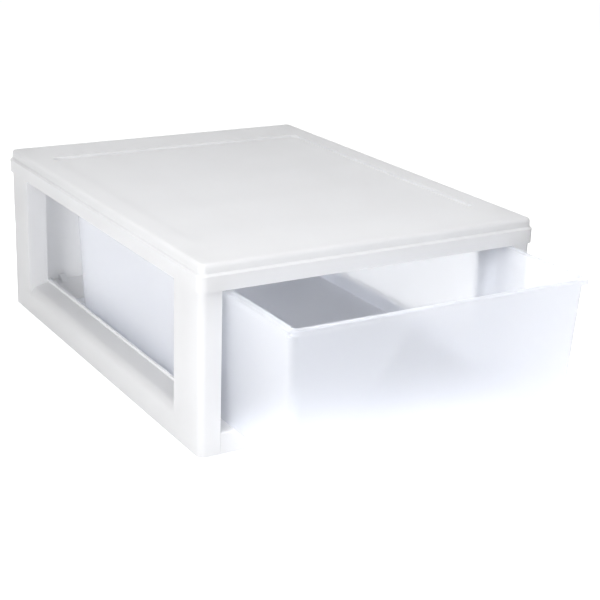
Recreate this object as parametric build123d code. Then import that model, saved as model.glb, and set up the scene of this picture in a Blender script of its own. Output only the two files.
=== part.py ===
"""Stackable drawer box: a white snap-together housing round one frosted pull-out drawer.

Millimetres. X runs from left to right, Y from the front to the back, and Z up from the
surface that the box stands on. The drawer is modelled partly pulled out, and the origin is
the bottom centre of the box and its open drawer together.
"""
from build123d import *
import os
from math import cos, radians, sin, tan

# ---- housing, outside sizes ----
housing_width = 281.0          # across the outer faces of the two side frames
housing_depth = 369.0          # front of the pillars to the outside of the back panel
housing_height = 142.8         # surface to the top of the cover's platform
cover_height = 19.3            # the cover above the seam on the pillars
corner_radius = 5.0            # outer upright corners of the side frames
edge_chamfer = 0.8             # moulded edges that a hand meets
round_flats = 3                # flats that make up a larger round
wall = 2.2                     # wall of every white moulding
rib_wall = 1.6                 # stiffening ribs
fit_gap = 0.2                  # between two mouldings that snap together
seat_gap = 0.3                 # round a tongue, spigot or tab in its pocket

# ---- top cover ----
skirt_overhang = 2.0           # skirt beyond the side frames, all round
platform_rise = 7.5            # the platform above the top of the skirt
platform_round = 3.0
ledge_chamfer = 0.8            # slope between the ledge and the platform's side
recess_depth = 2.0             # stacking recess, which takes the feet of the box above
recess_side_inset = 20.0       # from the side frames' outer faces
recess_end_inset = 46.0        # from the front and from the back
recess_radius = 6.0
cover_rib_depth = 7.0
cover_long_rib_count = 3
cover_cross_rib_count = 4
socket_wall = 1.8

# ---- side frames ----
front_pillar_depth = 40.5
rear_pillar_depth = 38.0
front_pillar_width = 16.4      # what shows of it from the front
side_wall_width = 17.0         # sill and rear pillar
sill_outer_height = 24.8
sill_inner_height = 29.3
sill_round = 8.0
box_rib_width = 12.0           # closed upright box rib that stiffens each pillar
front_box_rib_setback = 17.0   # from the front face
rear_box_rib_setback = 10.0    # from the back face
spigot_width = 8.0
spigot_depth = 12.0
spigot_height = 9.0
spigot_chamfer = 1.0
sill_rib_count = 5

# ---- base panel ----
floor_height = 17.8            # top of the floor
rail_height = 18.6             # top of the front rail
rail_depth = 10.0
rail_round = 2.0
foot_height = 2.3              # feet below the side frames
foot_size = 22.0
foot_play = 1.0                # between the feet and the recess of the cover below
floor_long_rib_count = 4
floor_cross_rib_count = 5
tab_count = 3                  # snap tabs on each side, which reach into the sills
tab_length = 9.0
tab_width = 14.0
tab_thickness = 2.4
keeper_width = 6.0             # wedges on the floor, inside the foot of the back panel
keeper_depth = 10.0
keeper_height = 5.0
keeper_count = 4
keeper_inset = 25.8            # middle of the first and last, from the edge of the floor

# ---- back panel ----
back_thickness = 2.4
back_tongue = 7.0              # side tongues, in front of the rear flanges of the side frames
tongue_thickness = 1.6
tongue_root = 3.0              # where a tongue joins the panel
back_top_tongue = 7.0          # top tongue, inside the cover's skirt
back_field_depth = 0.8         # shallow field on the outside
back_field_margin = 16.0
back_field_radius = 5.0

# ---- drawer ----
drawer_pull = 88.5             # how far it stands out of the housing as modelled
closed_recess = 0.5            # drawer front behind the pillars when shut
shut_gap = 0.4                 # rim and lugs in front of the back panel when shut
open_travel = 150.0            # further travel from the modelled place to the stop
rim_side_gap = 1.4             # rim clear of the front pillars
rim_running_gap = 0.8          # rim below the cover's skirt
rim_flange = 2.4
rim_lip = 3.4
side_lip = 5.0
rim_corner_radius = 4.5
drawer_corner_radius = 6.0     # upright corners of the tub
drawer_lift = 1.7              # drawer's underside above the front rail
drawer_wall = 2.0
drawer_draft = 2.45            # degrees
drawer_bottom_round = 3.0
side_bead_width = 1.4          # inner bead that stiffens each side rim
side_bead_height = 2.4
side_bead_start = 9.0          # behind the front edge of the rim
floor_step = 1.0               # raised middle of the drawer's floor
floor_step_margin = 14.0
lug_length = 14.0              # stop lugs at the rear bottom corners
lug_width = 12.5
lug_height = 8.0
lug_lift = 1.5                 # lug above the drawer's underside

# ---- guide strips ----
runner_gap = 0.3               # drawer above its runner
guide_web = 2.0
guide_foot_width = 15.7
guide_rise = 1.6               # top of the web above the inner edge of the sill
guide_end_gap = 14.0
stop_width = 4.0
stop_length = 12.0
stop_overlap = 5.5             # height over which a lug meets its stop
lug_side_gap = 1.3             # lug clear of the guide's web
peg_radius = 2.0
peg_length = 3.0
peg_play = 0.15
peg_count = 3

# ---- worked out from the sizes above ----
front = (drawer_pull - housing_depth - skirt_overhang) / 2
back = front + housing_depth
middle = (front + back) / 2
seam_height = housing_height - cover_height
ledge_height = housing_height - platform_rise
half_width = housing_width / 2
front_rail_half = half_width - front_pillar_width - fit_gap
floor_half = half_width - side_wall_width - fit_gap
tongue_front = back - wall - seat_gap - tongue_thickness
back_inner = back - back_thickness
keeper_reach = floor_half - keeper_inset
rim_top = seam_height - rim_running_gap
rim_width = housing_width - 2 * (front_pillar_width + rim_side_gap)
rim_length = tongue_front - shut_gap - front - closed_recess
rim_front = front - drawer_pull
rim_rear = rim_front + rim_length
drawer_middle = (rim_front + rim_rear) / 2
drawer_bottom = rail_height + drawer_lift
recess_width = housing_width - 2 * recess_side_inset
recess_length = housing_depth - 2 * recess_end_inset
runner_height = drawer_bottom - runner_gap
guide_outer = half_width - side_wall_width - seat_gap
guide_length = housing_depth - rail_depth - guide_end_gap - back_thickness - 2 * seat_gap
guide_middle = front + rail_depth + guide_end_gap + guide_length / 2
lug_rear = rim_rear + back_inner - tongue_front
lug_front = lug_rear - lug_length
lug_bottom = drawer_bottom + lug_lift
stop_rear = lug_front - open_travel


def block(x0, x1, y0, y1, z0, z1):
    """A plain block between two corners."""
    return Pos((x0 + x1) / 2, (y0 + y1) / 2, (z0 + z1) / 2) * Box(x1 - x0, y1 - y0, z1 - z0)


def slab(width, length, radius, z0, z1, y_middle=middle):
    """A plate with rounded upright corners, centred across the box."""
    outline = Pos(0, y_middle, z0) * RectangleRounded(width, length, radius)
    return extrude(outline, z1 - z0)


def stacked(outlines, y_middle):
    """A solid through rounded outlines, each given as height, width, length, corner radius."""
    return loft([Pos(0, y_middle, height) * RectangleRounded(width, length, radius)
                 for height, width, length, radius in outlines], ruled=True)


def spread(count, low, high):
    """Even places between two limits, with the same space before the first and after the last."""
    pitch = (high - low) / (count + 1)
    return [low + pitch * (step + 1) for step in range(count)]


def quarter_round(radius):
    """Quarter round as pairs: drop from its flat face and inset from its upright face."""
    turns = [radians(90) * step / round_flats for step in range(round_flats + 1)]
    return [(radius * (1 - sin(turn)), radius * (1 - cos(turn))) for turn in turns]


def top_edges(solid):
    """The edges round the highest flat face."""
    return solid.faces().sort_by(Axis.Z)[-1].edges()


def make_top_cover():
    """Lid with a stepped skirt, a raised platform and a shallow stacking recess."""
    skirt_radius = corner_radius + skirt_overhang
    skirt = slab(housing_width + 2 * skirt_overhang, housing_depth + 2 * skirt_overhang,
                 skirt_radius, seam_height, ledge_height)
    skirt = chamfer(top_edges(skirt), edge_chamfer)
    levels = [(ledge_height - wall, -ledge_chamfer), (ledge_height, -ledge_chamfer),
              (ledge_height + ledge_chamfer, 0)]
    levels += [(housing_height - drop, tuck) for drop, tuck in quarter_round(platform_round)]
    cover = skirt + stacked([(height, housing_width - 2 * tuck, housing_depth - 2 * tuck,
                              corner_radius - tuck) for height, tuck in levels], middle)

    skirt_inset = 2 * (wall - skirt_overhang)
    cover -= slab(housing_width - skirt_inset, housing_depth - skirt_inset,
                  skirt_radius - wall, seam_height, ledge_height - wall)
    room_width = housing_width - 2 * wall
    room_length = housing_depth - 2 * wall
    room_top = housing_height - wall
    cover -= slab(room_width, room_length, corner_radius - wall, ledge_height - wall, room_top)

    roof = room_top - recess_depth
    cover += slab(recess_width + 2 * wall, recess_length + 2 * wall, recess_radius + wall,
                  roof, room_top)
    for x in spread(cover_long_rib_count, -room_width / 2, room_width / 2):
        cover += block(x - rib_wall / 2, x + rib_wall / 2, middle - room_length / 2,
                       middle + room_length / 2, roof - cover_rib_depth, room_top)
    for y in spread(cover_cross_rib_count, middle - room_length / 2, middle + room_length / 2):
        cover += block(-room_width / 2, room_width / 2, y - rib_wall / 2, y + rib_wall / 2,
                       roof - cover_rib_depth, room_top)
    for x, y in spigot_places():
        play = 2 * seat_gap
        border = 2 * (seat_gap + socket_wall)
        socket = block(x - (spigot_width + border) / 2, x + (spigot_width + border) / 2,
                       y - (spigot_depth + border) / 2, y + (spigot_depth + border) / 2,
                       seam_height + seat_gap, room_top)
        cover += socket
        cover -= block(x - (spigot_width + play) / 2, x + (spigot_width + play) / 2,
                       y - (spigot_depth + play) / 2, y + (spigot_depth + play) / 2,
                       seam_height, seam_height + spigot_height + seat_gap)
    cover -= slab(recess_width, recess_length, recess_radius, roof + wall, housing_height)
    return cover


def spigot_places():
    """Centre of the spigot on each of the four pillars."""
    x = half_width - front_pillar_width / 2
    front_y = front + front_box_rib_setback + box_rib_width / 2
    rear_y = back - rear_box_rib_setback - box_rib_width / 2
    return [(sign * x, y) for sign in (-1, 1) for y in (front_y, rear_y)]


def sill_profile(inset):
    """Section of the side sill across X and Z, offset inwards; its upper outer edge is rounded."""
    slope = (sill_inner_height - sill_outer_height) / side_wall_width
    outer = -half_width + inset
    inner = -half_width + side_wall_width
    low = foot_height + inset
    corner_height = sill_outer_height + slope * inset - inset
    inner_height = sill_inner_height - inset
    section = Polygon((outer, low), (inner, low), (inner, inner_height), (outer, corner_height),
                      align=None)
    corner = section.vertices().sort_by(Axis.X)[:2].sort_by(Axis.Y)[-1]
    return fillet(corner, sill_round - inset)


def along_y(section, y0, y1):
    """A section drawn across X and Z, extruded from y0 to y1."""
    upright = Plane(origin=(0, y0, 0), x_dir=(1, 0, 0), z_dir=(0, -1, 0))
    return extrude(upright * section, -(y1 - y0))


def side_plan(inset):
    """Plan of one side frame, offset inwards, with its two outer corners rounded."""
    outer = -half_width + inset
    inner = -half_width + side_wall_width
    plan = Polygon((outer, front + inset), (inner, front + inset), (inner, back - inset),
                   (outer, back - inset), align=None)
    return fillet(plan.vertices().sort_by(Axis.X)[:2], corner_radius - inset)


def make_side_frame():
    """Left side: two pillars on a sill, hollow and open towards the drawer."""
    outer = -half_width
    inner = outer + side_wall_width
    window_front = front + front_pillar_depth
    window_rear = back - rear_pillar_depth
    envelope = extrude(Pos(0, 0, foot_height) * side_plan(0), seam_height - foot_height)
    room = extrude(Pos(0, 0, foot_height + wall) * side_plan(wall),
                   seam_height - foot_height - 2 * wall)

    frame = envelope - block(outer, inner, window_front, window_rear, foot_height, seam_height)
    frame += along_y(sill_profile(0), window_front, window_rear)
    frame -= block(outer + front_pillar_width, inner, front, window_front,
                   foot_height, seam_height)

    pillar_floor = sill_inner_height + wall
    front_rib = front + front_box_rib_setback
    rear_rib = back - rear_box_rib_setback - box_rib_width
    pockets = [(front, front_rib), (front_rib + box_rib_width, window_front - wall),
               (window_rear + wall, rear_rib), (rear_rib + box_rib_width, back)]
    for y0, y1 in pockets:
        frame -= room & block(outer, inner, y0, y1, pillar_floor, seam_height)
    for y0, width in ((front_rib, front_pillar_width), (rear_rib, side_wall_width)):
        frame -= block(outer + wall, outer + width - rib_wall, y0 + rib_wall,
                       y0 + box_rib_width - rib_wall, pillar_floor, seam_height - wall)

    frame -= room & along_y(sill_profile(wall), front, back)
    for y in spread(sill_rib_count, front, back):
        rib = along_y(sill_profile(wall / 2), y - rib_wall / 2, y + rib_wall / 2)
        rib_reach = side_wall_width + fit_gap - tab_length - seat_gap
        frame += rib & block(outer, outer + rib_reach, front, back, foot_height, sill_inner_height)
    for x, y in spigot_places()[:2]:
        spigot = block(x - spigot_width / 2, x + spigot_width / 2, y - spigot_depth / 2,
                       y + spigot_depth / 2, seam_height - wall, seam_height + spigot_height)
        frame += chamfer(top_edges(spigot), spigot_chamfer)
    return frame


def make_base_panel():
    """Floor tray with the front rail, ribs and four hollow feet underneath."""
    plate_bottom = floor_height - wall
    plate = block(-floor_half, floor_half, front, back, foot_height, floor_height)
    plate -= block(-floor_half + wall, floor_half - wall, front + wall, back - wall,
                   foot_height, plate_bottom)
    for x in spread(floor_long_rib_count, -floor_half, floor_half):
        plate += block(x - rib_wall / 2, x + rib_wall / 2, front, back, foot_height, plate_bottom)
    for y in spread(floor_cross_rib_count, front, back):
        plate += block(-floor_half, floor_half, y - rib_wall / 2, y + rib_wall / 2,
                       foot_height, plate_bottom)

    rail = block(-front_rail_half, front_rail_half, front, front + rail_depth,
                 plate_bottom, rail_height)
    rail += block(-front_rail_half, front_rail_half, front, front + wall,
                  foot_height, plate_bottom)
    nose = rail.edges().filter_by(Axis.X).group_by(Axis.Y)[0].sort_by(Axis.Z)[-1]
    plate += fillet(nose, rail_round)

    for x, y in foot_places():
        plate += foot(x, y)
    for y in spread(tab_count, front + front_pillar_depth, back - rear_pillar_depth):
        tab_bottom = foot_height + wall + seat_gap
        for sign in (-1, 1):
            x0, x1 = sorted((sign * (floor_half - wall), sign * (floor_half + tab_length)))
            plate += block(x0, x1, y - tab_width / 2, y + tab_width / 2,
                           tab_bottom, tab_bottom + tab_thickness)
    for step in range(keeper_count):
        x = keeper_reach * (2 * step / (keeper_count - 1) - 1)
        wedge = Plane.YZ.offset(x - keeper_width / 2) * Polygon(
            (back_inner - seat_gap - keeper_depth, floor_height),
            (back_inner - seat_gap, floor_height),
            (back_inner - seat_gap, floor_height + keeper_height),
            (back_inner - seat_gap - keeper_depth / 3, floor_height + keeper_height), align=None)
        plate += extrude(wedge, keeper_width)
    for x, y in peg_places():
        plate -= Pos(x, y, floor_height - wall / 2) * Cylinder(peg_radius + peg_play, wall)
    return plate


def foot_places():
    """Centres of the four feet, just inside the corners of the recess below."""
    x = recess_width / 2 - foot_play - foot_size / 2
    y = recess_length / 2 - foot_play - foot_size / 2
    return [(sign_x * x, middle + sign_y * y) for sign_x in (-1, 1) for sign_y in (-1, 1)]


def foot(x, y):
    """One hollow square foot with a cross rib, open underneath."""
    half = foot_size / 2
    top = floor_height - wall
    shape = block(x - half, x + half, y - half, y + half, 0, top)
    shape = fillet(shape.edges().filter_by(Axis.Z), recess_radius - foot_play)
    shape -= block(x - half + wall, x + half - wall, y - half + wall, y + half - wall, 0, top)
    shape += block(x - half + wall, x + half - wall, y - rib_wall / 2, y + rib_wall / 2, 0, top)
    shape += block(x - rib_wall / 2, x + rib_wall / 2, y - half + wall, y + half - wall, 0, top)
    return shape


def make_back_panel():
    """Back wall with side tongues and a top tongue that lock it into the housing."""
    panel = block(-floor_half, floor_half, back_inner, back, floor_height, seam_height)
    tongue_back = tongue_front + tongue_thickness
    tongue_bottom = sill_inner_height + wall + seat_gap
    tongue_top = seam_height - wall - seat_gap
    for sign in (-1, 1):
        root, edge, tip = (sign * (floor_half - tongue_root), sign * floor_half,
                           sign * (floor_half + back_tongue))
        panel += block(*sorted((root, tip)), tongue_front, tongue_back, tongue_bottom, tongue_top)
        panel += block(*sorted((root, edge)), tongue_front, back_inner, tongue_bottom, tongue_top)
    panel += block(-floor_half, floor_half, tongue_front, tongue_back,
                   seam_height - tongue_root, seam_height + back_top_tongue)
    panel += block(-floor_half, floor_half, tongue_front, back_inner,
                   seam_height - tongue_root, seam_height)
    field_height = seam_height - floor_height - 2 * back_field_margin
    field = Pos(0, back, (seam_height + floor_height) / 2) * (
        Plane.XZ * RectangleRounded(2 * (floor_half - back_field_margin), field_height,
                                    back_field_radius))
    return panel - extrude(field, back_field_depth)


def peg_places():
    """Centres of the pegs that hold the two guide strips to the floor."""
    x = guide_outer - guide_foot_width / 2
    places = spread(peg_count, guide_middle - guide_length / 2, guide_middle + guide_length / 2)
    return [(sign * x, y) for sign in (-1, 1) for y in places]


def make_guide_strip():
    """Left guide: a foot that carries the drawer, a web beside it and an opening stop."""
    outer = -guide_outer
    y0 = guide_middle - guide_length / 2
    y1 = guide_middle + guide_length / 2
    strip = block(outer, outer + guide_foot_width, y0, y1, floor_height, runner_height)
    strip += block(outer, outer + guide_web, y0, y1, floor_height, sill_inner_height + guide_rise)
    strip += block(outer, outer + guide_web + stop_width, stop_rear - stop_length, stop_rear,
                   floor_height, lug_bottom + stop_overlap)
    for x, y in peg_places()[:peg_count]:
        strip += Pos(x, y, floor_height - peg_length / 2) * Cylinder(peg_radius, peg_length)
    return strip


def tub(wall_offset, bottom, top, bottom_round):
    """The drawer's tapered body, offset inwards, between two heights."""
    levels = [(bottom + drop, tuck) for drop, tuck in reversed(quarter_round(bottom_round))]
    outlines = []
    for height, tuck in levels + [(top, 0)]:
        inset = rim_flange + wall_offset + tan(radians(drawer_draft)) * (rim_top - height) + tuck
        outlines.append((height, rim_width - 2 * inset, rim_length - 2 * inset,
                         drawer_corner_radius - wall_offset / 2 - tuck))
    return stacked(outlines, drawer_middle)


def make_drawer():
    """Open tub with tapered walls, a turned-down rim and stop lugs at its rear corners."""
    body = tub(0, drawer_bottom, rim_top, drawer_bottom_round)
    half_rim = rim_width / 2
    rim = slab(rim_width, rim_length, rim_corner_radius, rim_top - rim_lip, rim_top,
               drawer_middle)
    for sign in (-1, 1):
        x0, x1 = sorted((sign * half_rim, sign * (half_rim - rim_flange - drawer_wall / 2)))
        rim += block(x0, x1, rim_front + rim_corner_radius, rim_rear - rim_corner_radius,
                     rim_top - side_lip, rim_top)
    rim = chamfer(top_edges(rim), edge_chamfer)
    body += rim
    body -= tub(drawer_wall, drawer_bottom + drawer_wall, rim_top, drawer_bottom_round - drawer_wall)

    inner_half = half_rim - rim_flange - drawer_wall
    for sign in (-1, 1):
        x0, x1 = sorted((sign * (inner_half + drawer_wall / 2),
                         sign * (inner_half - side_bead_width)))
        body += block(x0, x1, rim_front + side_bead_start, rim_rear - side_bead_start,
                      rim_top - side_bead_height, rim_top)
        lug_outer = guide_outer - guide_web - lug_side_gap
        x0, x1 = sorted((sign * lug_outer, sign * (lug_outer - lug_width)))
        lug = block(x0, x1, lug_front, lug_rear, lug_bottom, lug_bottom + lug_height)
        body += lug - tub(drawer_wall / 2, drawer_bottom + drawer_wall / 2, rim_top,
                          drawer_bottom_round - drawer_wall / 2)

    floor_top = drawer_bottom + drawer_wall
    foot_inset = (rim_flange + drawer_wall + tan(radians(drawer_draft)) * (rim_top - floor_top)
                  + floor_step_margin)
    body += slab(rim_width - 2 * foot_inset, rim_length - 2 * foot_inset, recess_radius,
                 floor_top - drawer_wall / 2, floor_top + floor_step, drawer_middle)
    return body


side_frame = make_side_frame()
guide_strip = make_guide_strip()
pieces = {
    "top_cover": make_top_cover(),
    "side_frame_left": side_frame,
    "side_frame_right": mirror(side_frame, about=Plane.YZ),
    "base_panel": make_base_panel(),
    "back_panel": make_back_panel(),
    "guide_strip_left": guide_strip,
    "guide_strip_right": mirror(guide_strip, about=Plane.YZ),
    "drawer": make_drawer(),
}

os.makedirs("parts", exist_ok=True)
for node, piece in pieces.items():
    export_step(piece, f"parts/{node}.step")
    print(node, "volume", round(piece.volume), "solids", len(piece.solids()))
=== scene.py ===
"""Stackable drawer box: white snap-together housing and a frosted drawer, finished for rendering.

Metres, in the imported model's frame: X from left to right, Y from the front to the back, Z up.
"""
from math import cos, radians, sin

import bpy
from mathutils import Matrix, Vector


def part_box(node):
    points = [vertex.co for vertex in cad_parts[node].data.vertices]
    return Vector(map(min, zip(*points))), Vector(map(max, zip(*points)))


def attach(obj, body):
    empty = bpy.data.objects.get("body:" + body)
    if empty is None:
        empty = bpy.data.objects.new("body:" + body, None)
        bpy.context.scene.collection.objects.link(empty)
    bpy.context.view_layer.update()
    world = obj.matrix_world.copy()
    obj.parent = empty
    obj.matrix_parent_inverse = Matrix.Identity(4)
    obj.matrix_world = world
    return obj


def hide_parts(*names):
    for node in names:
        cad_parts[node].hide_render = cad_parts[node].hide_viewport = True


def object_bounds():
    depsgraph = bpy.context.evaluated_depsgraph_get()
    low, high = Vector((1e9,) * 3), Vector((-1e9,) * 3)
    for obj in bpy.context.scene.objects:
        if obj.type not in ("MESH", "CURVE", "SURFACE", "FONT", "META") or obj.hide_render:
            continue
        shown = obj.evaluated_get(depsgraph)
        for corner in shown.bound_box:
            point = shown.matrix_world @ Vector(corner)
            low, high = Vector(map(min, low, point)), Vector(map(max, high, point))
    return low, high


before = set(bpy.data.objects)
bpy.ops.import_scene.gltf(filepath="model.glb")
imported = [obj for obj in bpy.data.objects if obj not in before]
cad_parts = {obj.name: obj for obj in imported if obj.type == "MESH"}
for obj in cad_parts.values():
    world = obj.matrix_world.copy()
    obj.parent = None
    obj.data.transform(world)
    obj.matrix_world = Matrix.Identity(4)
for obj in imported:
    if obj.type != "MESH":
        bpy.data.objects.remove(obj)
cad_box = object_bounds()
bpy.ops.object.select_all(action="DESELECT")

# ---- top cover ----
# Lid of the housing, one white polypropylene moulding with a stepped skirt, a raised platform
# and a shallow recess for the box above. It clips over the spigots of the four pillars.

mould_edge = 0.0004            # radius left by the mould on every sharp edge
merge_reach = 0.00001          # corners closer than this are one corner
same_plane = radians(0.4)      # faces that meet at less are one flat face
sharp_edge = radians(32)       # edges that meet at more are rounded and stay crisp


def finish_moulding(node):
    """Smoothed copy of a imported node, its flat faces whole and its sharp edges rounded."""
    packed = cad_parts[node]
    bpy.ops.object.select_all(action="DESELECT")
    packed.select_set(True)
    bpy.context.view_layer.objects.active = packed
    bpy.ops.object.duplicate()
    piece = bpy.context.view_layer.objects.active
    piece.name = node + "_moulded"
    piece.parent = None
    for key in [k for k in piece.keys() if k.startswith("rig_")]:
        del piece[key]
    bpy.ops.object.mode_set(mode="EDIT")
    bpy.ops.mesh.select_all(action="SELECT")
    bpy.ops.mesh.remove_doubles(threshold=merge_reach)
    bpy.ops.mesh.dissolve_limited(angle_limit=same_plane)
    bpy.ops.object.mode_set(mode="OBJECT")
    rounded = piece.modifiers.new("rounded edges", "BEVEL")
    rounded.width = mould_edge
    rounded.segments = 2
    rounded.limit_method = "ANGLE"
    rounded.angle_limit = sharp_edge
    rounded.use_clamp_overlap = True
    bpy.ops.object.modifier_apply(modifier=rounded.name)
    bpy.ops.object.shade_smooth_by_angle(angle=sharp_edge)
    even = piece.modifiers.new("flat faces stay flat", "WEIGHTED_NORMAL")
    even.keep_sharp = True
    bpy.ops.object.modifier_apply(modifier=even.name)
    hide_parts(node)
    return piece


grain_height = 0.25            # height of the grain beside that of the waves
worn_from, worn_to = 0.45, 0.75    # noise values between which a patch turns from new to rubbed


def moulded_skin():
    """Node group: the fine grain, sink waves and rubbed patches of a moulded plastic skin."""
    group = bpy.data.node_groups.new("moulded_skin", "ShaderNodeTree")
    for name, value in (("Grain Scale", 900.0), ("Wave Scale", 22.0), ("Rub Scale", 60.0)):
        socket = group.interface.new_socket(name, in_out="INPUT", socket_type="NodeSocketFloat")
        socket.default_value = value
    for name in ("Height", "Wave", "Rub"):
        group.interface.new_socket(name, in_out="OUTPUT", socket_type="NodeSocketFloat")
    nodes, links = group.nodes, group.links
    given = nodes.new("NodeGroupInput")
    result = nodes.new("NodeGroupOutput")
    place = nodes.new("ShaderNodeTexCoord")

    grain = nodes.new("ShaderNodeTexNoise")
    grain.inputs["Detail"].default_value = 3.0
    grain.inputs["Roughness"].default_value = 0.6
    links.new(place.outputs["Object"], grain.inputs["Vector"])
    links.new(given.outputs["Grain Scale"], grain.inputs["Scale"])

    wave = nodes.new("ShaderNodeTexNoise")
    wave.inputs["Detail"].default_value = 2.0
    wave.inputs["Distortion"].default_value = 0.4
    links.new(place.outputs["Object"], wave.inputs["Vector"])
    links.new(given.outputs["Wave Scale"], wave.inputs["Scale"])

    rub = nodes.new("ShaderNodeTexNoise")
    rub.inputs["Detail"].default_value = 6.0
    rub.inputs["Roughness"].default_value = 0.7
    links.new(place.outputs["Object"], rub.inputs["Vector"])
    links.new(given.outputs["Rub Scale"], rub.inputs["Scale"])

    height = nodes.new("ShaderNodeMath")
    height.operation = "MULTIPLY_ADD"
    height.inputs[1].default_value = grain_height
    links.new(grain.outputs["Fac"], height.inputs[0])
    links.new(wave.outputs["Fac"], height.inputs[2])

    worn = nodes.new("ShaderNodeMapRange")
    worn.inputs["From Min"].default_value = worn_from
    worn.inputs["From Max"].default_value = worn_to
    links.new(rub.outputs["Fac"], worn.inputs["Value"])

    links.new(height.outputs[0], result.inputs["Height"])
    links.new(wave.outputs["Fac"], result.inputs["Wave"])
    links.new(worn.outputs["Result"], result.inputs["Rub"])
    return group


skin = moulded_skin()
polypropylene_ior = 1.49


def plastic(name, pale, shaded, gloss, rubbed, bump, grain_scale):
    """Polypropylene whose tint, roughness and relief come from the moulded skin."""
    material = bpy.data.materials.new(name)
    material.use_nodes = True
    nodes, links = material.node_tree.nodes, material.node_tree.links
    surface = nodes["Principled BSDF"]
    surface.inputs["IOR"].default_value = polypropylene_ior
    pattern = nodes.new("ShaderNodeGroup")
    pattern.node_tree = skin
    pattern.inputs["Grain Scale"].default_value = grain_scale

    tint = nodes.new("ShaderNodeMix")
    tint.data_type = "RGBA"
    tint.inputs["A"].default_value = (*shaded, 1)
    tint.inputs["B"].default_value = (*pale, 1)
    links.new(pattern.outputs["Wave"], tint.inputs["Factor"])
    links.new(tint.outputs["Result"], surface.inputs["Base Color"])

    shine = nodes.new("ShaderNodeMix")
    shine.inputs["A"].default_value = gloss
    shine.inputs["B"].default_value = rubbed
    links.new(pattern.outputs["Rub"], shine.inputs["Factor"])
    links.new(shine.outputs["Result"], surface.inputs["Roughness"])

    relief = nodes.new("ShaderNodeBump")
    relief.inputs["Strength"].default_value = 1.0
    relief.inputs["Distance"].default_value = bump
    links.new(pattern.outputs["Height"], relief.inputs["Height"])
    links.new(relief.outputs["Normal"], surface.inputs["Normal"])
    return material


def dress(piece, material, body):
    """Gives a finished piece its material and the body that carries it."""
    piece.data.materials.clear()
    piece.data.materials.append(material)
    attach(piece, body)


def let_light_in(material, share, colour):
    """Lets a share of the light scatter through a thin wall; returns the mixed shader."""
    nodes, links = material.node_tree.nodes, material.node_tree.links
    scattered = nodes.new("ShaderNodeBsdfTranslucent")
    scattered.inputs["Color"].default_value = (*colour, 1)
    wall = nodes.new("ShaderNodeMixShader")
    wall.inputs["Fac"].default_value = share
    links.new(nodes["Principled BSDF"].outputs["BSDF"], wall.inputs[1])
    links.new(scattered.outputs["BSDF"], wall.inputs[2])
    links.new(wall.outputs["Shader"], nodes["Material Output"].inputs["Surface"])
    return wall


white_plastic = plastic("white_polypropylene", pale=(0.87, 0.87, 0.875), shaded=(0.83, 0.83, 0.84),
                        gloss=0.34, rubbed=0.46, bump=0.00006, grain_scale=900)
let_light_in(white_plastic, share=0.33, colour=(0.9, 0.905, 0.91))
dress(finish_moulding("top_cover"), white_plastic, "housing")

# ---- side frames ----
# Two hollow white mouldings, each a pair of pillars on a low sill with a rounded outer edge.
# The window between the pillars is open. Spigots on top plug into the cover.

for side in ("left", "right"):
    dress(finish_moulding("side_frame_" + side), white_plastic, "housing")

# ---- base panel ----
# Floor with the front rail, crossed ribs and four hollow feet underneath, white like the sides.
# Its tabs snap into the sills.

dress(finish_moulding("base_panel"), white_plastic, "housing")

# ---- back panel ----
# Flat white wall at the rear of the housing. Tongues hold it behind the flanges of the side
# frames, and wedges on the floor keep its foot in place.

dress(finish_moulding("back_panel"), white_plastic, "housing")

# ---- guide strips ----
# Slicker white strips pegged to the floor beside the sills. The drawer runs on their feet, and
# their webs show as a thin bright line along the inner edge of each sill.

slick_plastic = plastic("slick_polypropylene", pale=(0.93, 0.93, 0.94), shaded=(0.90, 0.90, 0.91),
                        gloss=0.2, rubbed=0.28, bump=0.00002, grain_scale=600)
for side in ("left", "right"):
    dress(finish_moulding("guide_strip_" + side), slick_plastic, "housing")

# ---- drawer ----
# Frosted tub, one translucent polypropylene moulding with tapered 2 mm walls, rounded corners
# and a turned-down rim. It slides on the guide strips. Light passes through it and scatters in
# it, and lamps still light what stands behind it.

frosted_plastic = plastic("frosted_polypropylene", pale=(0.95, 0.96, 0.985),
                          shaded=(0.93, 0.945, 0.975), gloss=0.30, rubbed=0.34, bump=0.00003,
                          grain_scale=700)
frosted_body = let_light_in(frosted_plastic, share=0.08, colour=(0.93, 0.95, 0.985))
unscattered = 0.4              # share that passes straight through each face of a wall
wall_tint = (0.95, 0.955, 0.97, 1)

frosted_nodes, frosted_links = frosted_plastic.node_tree.nodes, frosted_plastic.node_tree.links
frosted_nodes["Principled BSDF"].inputs["Transmission Weight"].default_value = 0.75
light_path = frosted_nodes.new("ShaderNodeLightPath")
straight_share = frosted_nodes.new("ShaderNodeBsdfTransparent")
straight_share.inputs["Color"].default_value = wall_tint
lamps_pass = frosted_nodes.new("ShaderNodeMath")
lamps_pass.operation = "MAXIMUM"
lamps_pass.inputs[1].default_value = unscattered
with_straight = frosted_nodes.new("ShaderNodeMixShader")
frosted_links.new(light_path.outputs["Is Shadow Ray"], lamps_pass.inputs[0])
frosted_links.new(lamps_pass.outputs[0], with_straight.inputs["Fac"])
frosted_links.new(frosted_body.outputs["Shader"], with_straight.inputs[1])
frosted_links.new(straight_share.outputs["BSDF"], with_straight.inputs[2])
frosted_links.new(with_straight.outputs["Shader"],
                  frosted_nodes["Material Output"].inputs["Surface"])
dress(finish_moulding("drawer"), frosted_plastic, "drawer")

# ---- floor, lamps and camera ----
# White studio floor under the box, soft lamps round it and a pale surround. The camera sees
# floor and surround as white, while the light that they give the box stays low.

floor_size = 8
bpy.ops.mesh.primitive_plane_add(size=floor_size, location=(0, 0, cad_box[0].z))
floor = bpy.context.view_layer.objects.active
floor.name = "studio_floor"
through_drawer = 0.25          # brightness of the studio as the frosted wall scatters it


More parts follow.
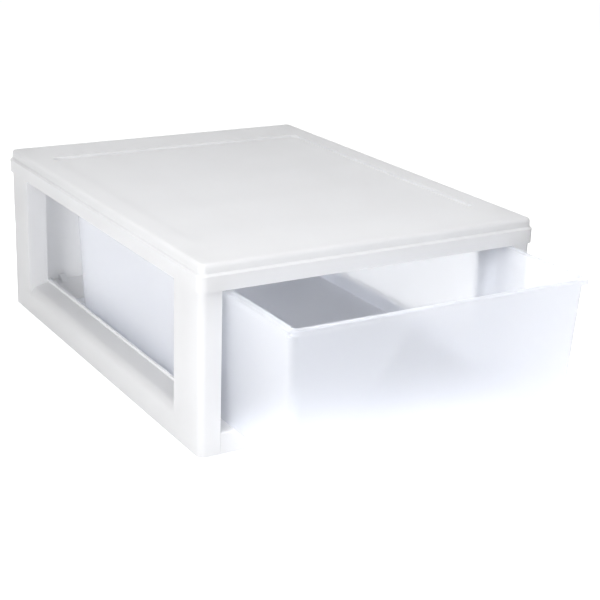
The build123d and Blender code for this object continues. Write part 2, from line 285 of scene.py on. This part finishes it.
def seen_directly(tree):
    """1 for what the camera sees, also in reflections, less through the drawer, 0 elsewhere."""
    nodes, links = tree.nodes, tree.links
    path = nodes.new("ShaderNodeLightPath")
    dimmed = nodes.new("ShaderNodeMath")
    dimmed.operation = "MULTIPLY"
    dimmed.inputs[1].default_value = through_drawer
    links.new(path.outputs["Is Transmission Ray"], dimmed.inputs[0])
    seen = dimmed.outputs[0]
    for ray in ("Is Camera Ray", "Is Glossy Ray"):
        either = nodes.new("ShaderNodeMath")
        either.operation = "MAXIMUM"
        links.new(seen, either.inputs[0])
        links.new(path.outputs[ray], either.inputs[1])
        seen = either.outputs[0]
    return seen


surround_light = 0.15          # light that the surround gives the box
surround_white = 1.0           # the surround as the camera sees it
floor_glow = 0.88              # lifts the lit floor to white for the camera
floor_grey = 0.8
floor_paint = bpy.data.materials.new("studio_white")
floor_paint.use_nodes = True
paint_nodes, paint_links = floor_paint.node_tree.nodes, floor_paint.node_tree.links
paint = paint_nodes["Principled BSDF"]
paint.inputs["Base Color"].default_value = (floor_grey, floor_grey, floor_grey, 1)
paint.inputs["Roughness"].default_value = 0.9
paint.inputs["Specular IOR Level"].default_value = 0.0
paint.inputs["Emission Color"].default_value = (1, 1, 1, 1)
glow = paint_nodes.new("ShaderNodeMath")
glow.operation = "MULTIPLY"
glow.inputs[1].default_value = floor_glow
paint_links.new(seen_directly(floor_paint.node_tree), glow.inputs[0])
paint_links.new(glow.outputs[0], paint.inputs["Emission Strength"])
floor.data.materials.append(floor_paint)

world = bpy.data.worlds.new("studio")
bpy.context.scene.world = world
world.use_nodes = True
surround = world.node_tree.nodes["Background"]
surround.inputs["Color"].default_value = (1, 1, 1, 1)
level = world.node_tree.nodes.new("ShaderNodeMix")
level.inputs["A"].default_value = surround_light
level.inputs["B"].default_value = surround_white
world.node_tree.links.new(seen_directly(world.node_tree), level.inputs["Factor"])
world.node_tree.links.new(level.outputs["Result"], surround.inputs["Strength"])


def soft_lamp(name, place, aim, width, height, power):
    """A flat lamp that looks at a point, its sides in metres and its power in watts."""
    bpy.ops.object.light_add(type="AREA", location=place)
    lamp = bpy.context.view_layer.objects.active
    lamp.name = name
    lamp.data.shape = "RECTANGLE"
    lamp.data.size = width
    lamp.data.size_y = height
    lamp.data.energy = power
    lamp.rotation_mode = "QUATERNION"
    lamp.rotation_quaternion = (Vector(aim) - Vector(place)).to_track_quat("-Z", "Y")


soft_lamp("left_front", (-1.3, -0.9, 0.7), (-0.1, 0, 0.08), 0.7, 0.7, 15)
soft_lamp("left_near", (-0.55, -0.25, 0.25), (-0.14, -0.14, 0.07), 0.25, 0.25, 0.7)
soft_lamp("low_front", (0.1, -1.2, 0.12), (0.05, -0.23, 0.08), 0.8, 0.2, 1.1)
soft_lamp("over_front", (-0.05, -0.25, 0.9), (-0.05, -0.1, 0.1), 0.4, 0.4, 4.0)
soft_lamp("over_back", (0.2, 0.7, 1.1), (0, 0.1, 0.1), 0.6, 0.6, 2.5)
soft_lamp("low_right", (0.8, 0.05, 0.08), (0.14, 0.05, 0.08), 0.6, 0.12, 0.1)
soft_lamp("low_back", (0, 0.55, 0.07), (0, 0.22, 0.07), 0.4, 0.1, 1.0)

# The camera's place is measured from the lower front left corner of the left side frame.
camera_from_corner = Vector((-0.3916, -0.7738, 0.4188))
camera_azimuth = radians(-31.21)
camera_elevation = radians(19.13)
camera_roll = radians(1.89)
sensor = 36.0
focal_pixels = 1380.41
photo_pixels = 600

back = Vector((sin(camera_azimuth) * cos(camera_elevation),
               -cos(camera_azimuth) * cos(camera_elevation), sin(camera_elevation)))
level_right = (-back).cross(Vector((0, 0, 1))).normalized()
level_up = level_right.cross(-back)
right = cos(camera_roll) * level_right + sin(camera_roll) * level_up
up = cos(camera_roll) * level_up - sin(camera_roll) * level_right
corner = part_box("side_frame_left")[0]
bpy.ops.object.camera_add()
camera = bpy.context.view_layer.objects.active
camera.matrix_world = (Matrix.Translation(corner + camera_from_corner)
                       @ Matrix((right, up, back)).transposed().to_4x4())
camera.data.sensor_fit = "HORIZONTAL"
camera.data.sensor_width = sensor
camera.data.lens = focal_pixels / photo_pixels * sensor
camera.data.clip_start = 0.05
camera.data.clip_end = 20
scene = bpy.context.scene
scene.camera = camera
scene.view_settings.view_transform = "Standard"
scene.cycles.max_bounces = 24
scene.cycles.diffuse_bounces = 10
scene.cycles.transmission_bounces = 20
